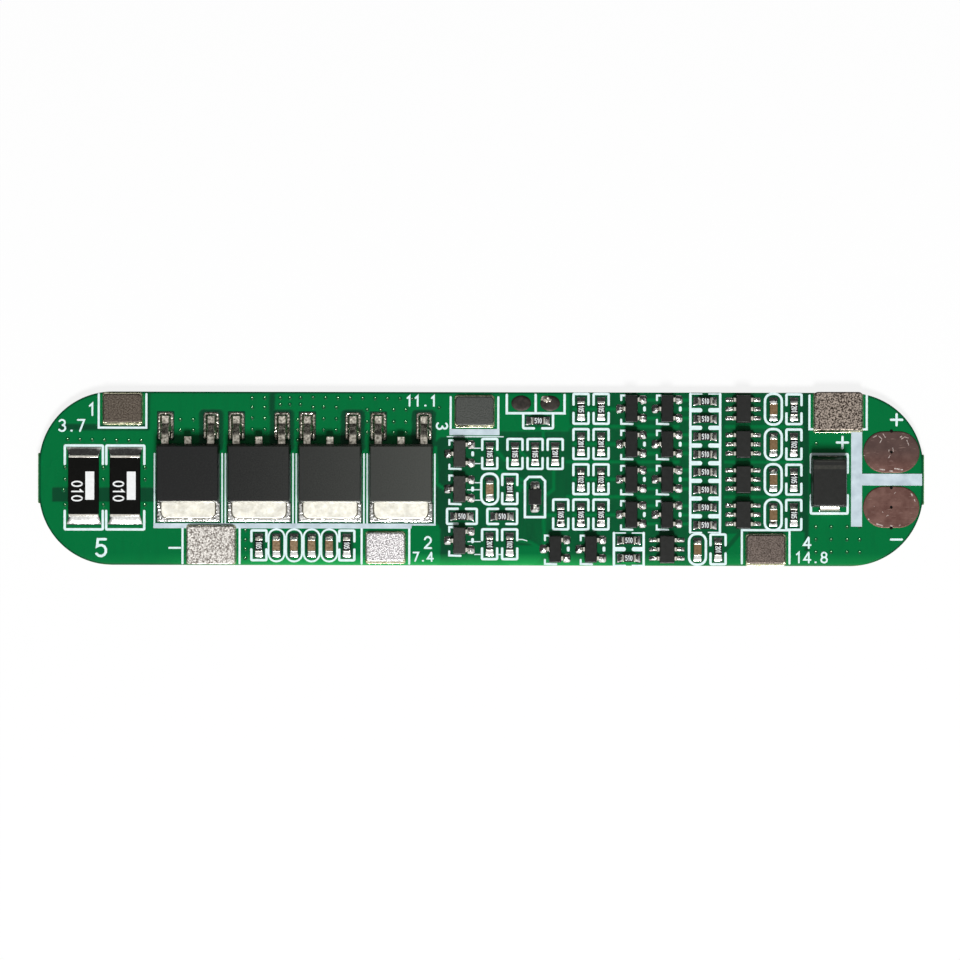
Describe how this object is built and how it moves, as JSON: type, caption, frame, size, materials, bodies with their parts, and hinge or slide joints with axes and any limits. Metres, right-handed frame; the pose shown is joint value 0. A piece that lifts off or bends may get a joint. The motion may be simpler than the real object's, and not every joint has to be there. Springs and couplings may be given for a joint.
{
  "type": "battery management board",
  "caption": "Long round ended green circuit board that guards a row of battery cells, with weld tabs on both long edges, power transistors, shunts and bare output pads.",
  "frame": {"origin": "middle of the board's underside", "axes": "+X along the board towards the output pads, +Y across it towards the edge with the odd numbered cell tabs, +Z out of the component side"},
  "size_m": [0.0918, 0.0181, 0.0035],
  "materials": {
    "solder_mask": "green solder mask over glass cloth laminate and copper traces",
    "white_ink": "screen printed white ink",
    "bare_copper": "bare copper dulled brown, lightly scratched",
    "tarnished_tin": "thin tin over copper, dulled",
    "nickel_strip": "fine blasted nickel plated strip",
    "tinned_metal": "bright tin plate",
    "solder": "reflowed solder",
    "moulded_epoxy": "black moulded epoxy, fine spark eroded grain",
    "resistor_coat": "black glass coat on white ceramic",
    "capacitor_ceramic": "brown fired ceramic",
    "shunt_coat": "black coat, slightly grainy"
  },
  "bodies": {
    "root": {"battery_negative_tab": "nickel_strip", "battery_positive_tab": "nickel_strip", "cell_monitor_1": "moulded_epoxy", "cell_monitor_2": "moulded_epoxy", "cell_monitor_3": "moulded_epoxy", "cell_monitor_4": "moulded_epoxy", "cell_monitor_5": "moulded_epoxy", "cell_monitor_leads": "tinned_metal", "cell_tab_1": "nickel_strip", "cell_tab_2": "nickel_strip", "cell_tab_3": "nickel_strip", "cell_tab_4": "nickel_strip", "chip_capacitor_caps": "tinned_metal", "chip_capacitors": "capacitor_ceramic", "chip_resistor_caps": "tinned_metal", "chip_resistors": "resistor_coat", "chip_solder": "solder", "circuit_board": "solder_mask", "clamp_diode_body": "moulded_epoxy", "clamp_diode_leads": "tinned_metal", "clamp_diode_solder": "solder", "current_shunt_1_body": "shunt_coat", "current_shunt_1_ends": "tinned_metal", "current_shunt_2_body": "shunt_coat", "current_shunt_2_ends": "tinned_metal", "lead_solder": "solder", "output_pad_negative": "bare_copper", "output_pad_positive": "bare_copper", "power_transistor_1_body": "moulded_epoxy", "power_transistor_1_frame": "tinned_metal", "power_transistor_2_body": "moulded_epoxy", "power_transistor_2_frame": "tinned_metal", "power_transistor_3_body": "moulded_epoxy", "power_transistor_3_frame": "tinned_metal", "power_transistor_4_body": "moulded_epoxy", "power_transistor_4_frame": "tinned_metal", "power_transistor_solder": "solder", "shunt_solder": "solder", "signal_transistor_1": "moulded_epoxy", "signal_transistor_10": "moulded_epoxy", "signal_transistor_11": "moulded_epoxy", "signal_transistor_12": "moulded_epoxy", "signal_transistor_13": "moulded_epoxy", "signal_transistor_2": "moulded_epoxy", "signal_transistor_3": "moulded_epoxy", "signal_transistor_4": "moulded_epoxy", "signal_transistor_5": "moulded_epoxy", "signal_transistor_6": "moulded_epoxy", "signal_transistor_7": "moulded_epoxy", "signal_transistor_8": "moulded_epoxy", "signal_transistor_9": "moulded_epoxy", "signal_transistor_leads": "tinned_metal", "small_diode_body": "moulded_epoxy", "small_diode_leads": "tinned_metal", "switch_pad_left": "tarnished_tin", "switch_pad_right": "tarnished_tin", "weld_tab_solder": "solder", "white_print": "white_ink"}
  },
  "joints": []
}
